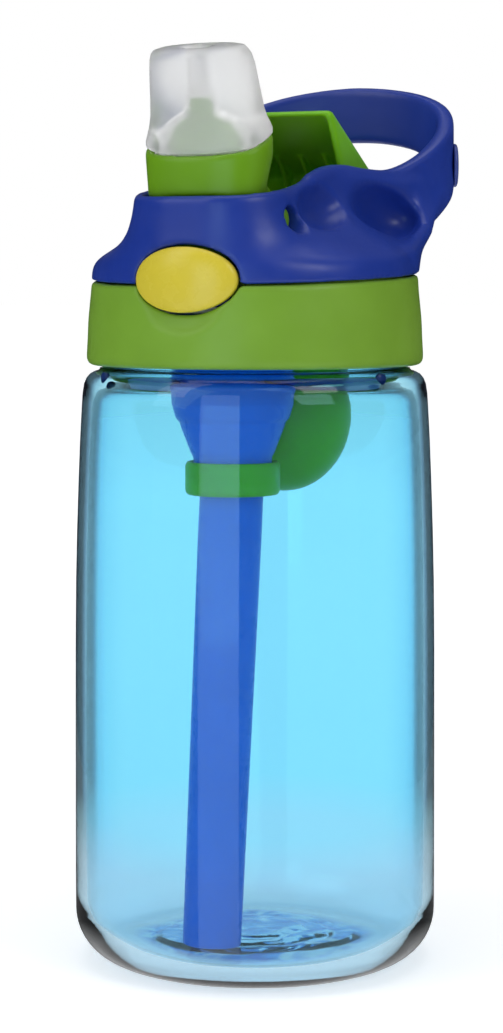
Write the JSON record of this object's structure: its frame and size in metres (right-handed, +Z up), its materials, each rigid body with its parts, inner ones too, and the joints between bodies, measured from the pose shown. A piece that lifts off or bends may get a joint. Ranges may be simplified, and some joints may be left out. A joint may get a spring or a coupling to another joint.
{
  "type": "kids water bottle",
  "caption": "Clear children's drinking bottle with a screw-on lid, carry loop, push button, flip cover and fold-down soft spout with straw.",
  "frame": {"origin": "centre of the flat base that the bottle stands on", "axes": "+Z up along the bottle's axis, -Y towards the push button, +Y towards the carry loop, +X to the right of someone facing +Y"},
  "size_m": [0.0742, 0.0913, 0.1827],
  "materials": {
    "clear_cyan": "clear tinted plastic, polished",
    "leaf_green": "satin moulded plastic",
    "royal_blue": "satin moulded plastic",
    "warm_yellow": "satin moulded plastic",
    "milky_silicone": "translucent silicone",
    "straw_blue": "smooth moulded plastic",
    "seal_rubber": "matte silicone",
    "spring_steel": "bright spring wire"
  },
  "bodies": {
    "bottle": {"bottle_body": "clear_cyan"},
    "gasket": {"rim_gasket": "seal_rubber"},
    "lid": {"screw_collar": "leaf_green", "lid_shell": "royal_blue", "handle_badge": "royal_blue", "lid_insert": "royal_blue", "straw_funnel": "straw_blue", "funnel_ring": "leaf_green", "straw": "straw_blue", "mechanism_well": "leaf_green", "stem_seal": "seal_rubber", "vent_valve": "seal_rubber", "port_seal": "seal_rubber", "spout_spring_left": "spring_steel", "spout_spring_right": "spring_steel", "cover_pin": "spring_steel", "cover_spring": "spring_steel", "button_spring": "spring_steel"},
    "spout": {"spout_barrel": "leaf_green", "soft_spout": "milky_silicone"},
    "cover": {"flip_cover": "leaf_green"},
    "button": {"push_button": "warm_yellow", "latch_slider": "leaf_green"}
  },
  "joints": [
    {"name": "lid_lift", "type": "slide", "parent": "bottle", "child": "gasket", "axis": [0, 0, 1], "range_m": [0, 0.00625]},
    {"name": "lid_turn", "type": "hinge", "parent": "gasket", "child": "lid", "pos_m": [0, 0, 0.1335], "axis": [0, 0, 1], "range_deg": [0, 450]},
    {"name": "spout_flip", "type": "hinge", "parent": "lid", "child": "spout", "pos_m": [0, -0.019, 0.148], "axis": [-1, 0, 0], "range_deg": [0, 104], "stiffness_Nm_per_rad": 0.01, "springref_deg": -28.65},
    {"name": "cover_flip", "type": "hinge", "parent": "lid", "child": "cover", "pos_m": [0, 0.027, 0.151], "axis": [1, 0, 0], "range_deg": [0, 34], "stiffness_Nm_per_rad": 0.005, "springref_deg": -28.65},
    {"name": "button_press", "type": "slide", "parent": "lid", "child": "button", "axis": [0, 1, 0], "range_m": [0, 0.0018], "stiffness_N_per_m": 400, "springref_m": -0.001, "deforming": ["button_spring"]}
  ],
  "couplings": [
    {"joint": "lid_lift", "follows": "lid_turn", "m_per_rad": 0.00079577}
  ]
}
